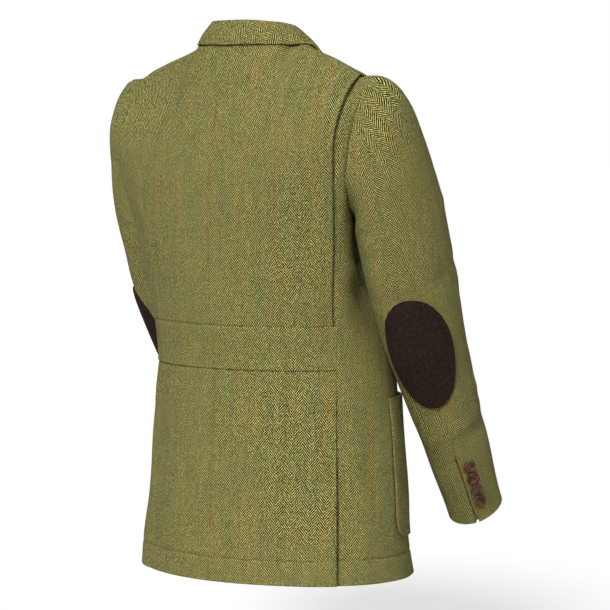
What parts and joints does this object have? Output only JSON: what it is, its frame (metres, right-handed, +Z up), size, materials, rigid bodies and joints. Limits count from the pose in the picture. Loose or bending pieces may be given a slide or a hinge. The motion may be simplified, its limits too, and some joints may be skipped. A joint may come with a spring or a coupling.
{
  "type": "sports jacket",
  "caption": "Single-breasted tweed sports jacket, filled out as worn, with an action back, half belt, side vents, patch pockets and elbow patches.",
  "frame": {"origin": "between the two shoulder tips, level with the side of the neck, where the jacket hangs on the wearer", "axes": "+Z up, the front faces -Y, +X is the wearer's left"},
  "size_m": [0.5484, 0.4031, 0.791],
  "materials": {
    "tweed": "olive herringbone wool tweed with a faint overcheck",
    "elbow_felt": "dark brown brushed felt",
    "horn": "polished brown horn look"
  },
  "bodies": {
    "root": {"back_upper": "tweed", "back_belt": "tweed", "back_skirt": "tweed", "back_strip_left": "tweed", "back_strip_right": "tweed", "side_panel_left": "tweed", "side_panel_right": "tweed", "front_left": "tweed", "front_right": "tweed", "lapel_left": "tweed", "lapel_right": "tweed", "collar": "tweed", "sleeve_top_left": "tweed", "sleeve_top_right": "tweed", "sleeve_under_left": "tweed", "sleeve_under_right": "tweed", "pocket_left": "tweed", "pocket_right": "tweed", "elbow_patch_left": "elbow_felt", "elbow_patch_right": "elbow_felt", "button_front_1": "horn", "button_front_2": "horn", "button_front_3": "horn", "button_cuff_left_1": "horn", "button_cuff_left_2": "horn", "button_cuff_left_3": "horn", "button_cuff_left_4": "horn", "button_cuff_right_1": "horn", "button_cuff_right_2": "horn", "button_cuff_right_3": "horn", "button_cuff_right_4": "horn"}
  },
  "joints": []
}
